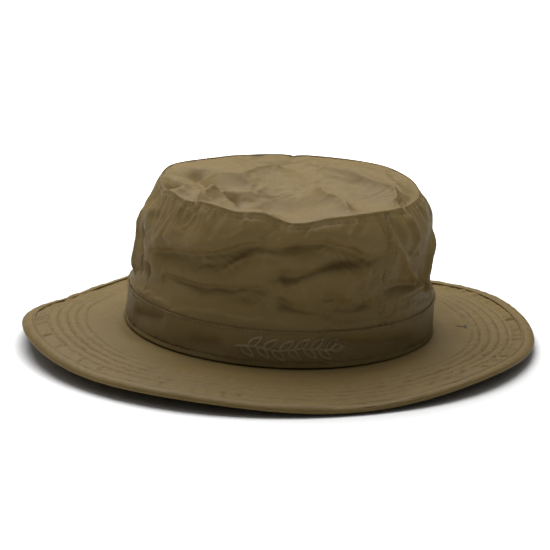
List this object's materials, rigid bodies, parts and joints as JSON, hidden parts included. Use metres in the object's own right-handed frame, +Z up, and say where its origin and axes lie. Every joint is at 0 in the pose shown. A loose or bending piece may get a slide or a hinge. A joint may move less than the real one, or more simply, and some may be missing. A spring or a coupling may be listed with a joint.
{
  "type": "boonie hat",
  "caption": "Soft cloth boonie hat with a flat-topped crown, a stitched hatband and a wide quilted brim with a bound edge.",
  "frame": {"origin": "centre of the brim's footprint on the surface the hat stands on", "axes": "+Z up, hat's front towards -Y, wearer's left side towards +X"},
  "size_m": [0.312, 0.327, 0.1078],
  "materials": {
    "shell_cloth": "smooth olive woven nylon with a faint sheen",
    "binding_tape": "olive woven tape",
    "interlining": "stiff off-white non-woven, hidden between the brim's cloths",
    "sweatband_cloth": "dark olive brushed cotton twill",
    "label_satin": "off-white satin ribbon, blank",
    "sewing_thread": "olive polyester sewing thread",
    "embroidery_thread": "glossy olive rayon thread"
  },
  "bodies": {
    "hat": {"crown_tip": "shell_cloth", "crown_side_front": "shell_cloth", "crown_side_back": "shell_cloth", "hatband": "shell_cloth", "brim_top": "shell_cloth", "brim_interlining": "interlining", "brim_underside": "shell_cloth", "brim_binding": "binding_tape", "sweatband": "sweatband_cloth", "tip_seam_tape": "binding_tape", "side_seam_tapes": "binding_tape", "label_stitching": "sewing_thread", "tip_topstitch": "sewing_thread", "side_seam_stitching": "sewing_thread", "hatband_upper_stitching": "sewing_thread", "hatband_lower_stitching": "sewing_thread", "brim_stitch_rows": "sewing_thread", "binding_stitching": "sewing_thread", "sweatband_stitching": "sewing_thread", "bar_tack": "sewing_thread", "embroidery_motif": "embroidery_thread"},
    "label": {"care_label": "label_satin"}
  },
  "joints": [
    {"name": "label_swing", "type": "hinge", "parent": "hat", "child": "label", "pos_m": [0.00125, 0.09356, 0.03842], "axis": [-0.9988, 0.0005, 0.048], "range_deg": [0, 150]}
  ]
}
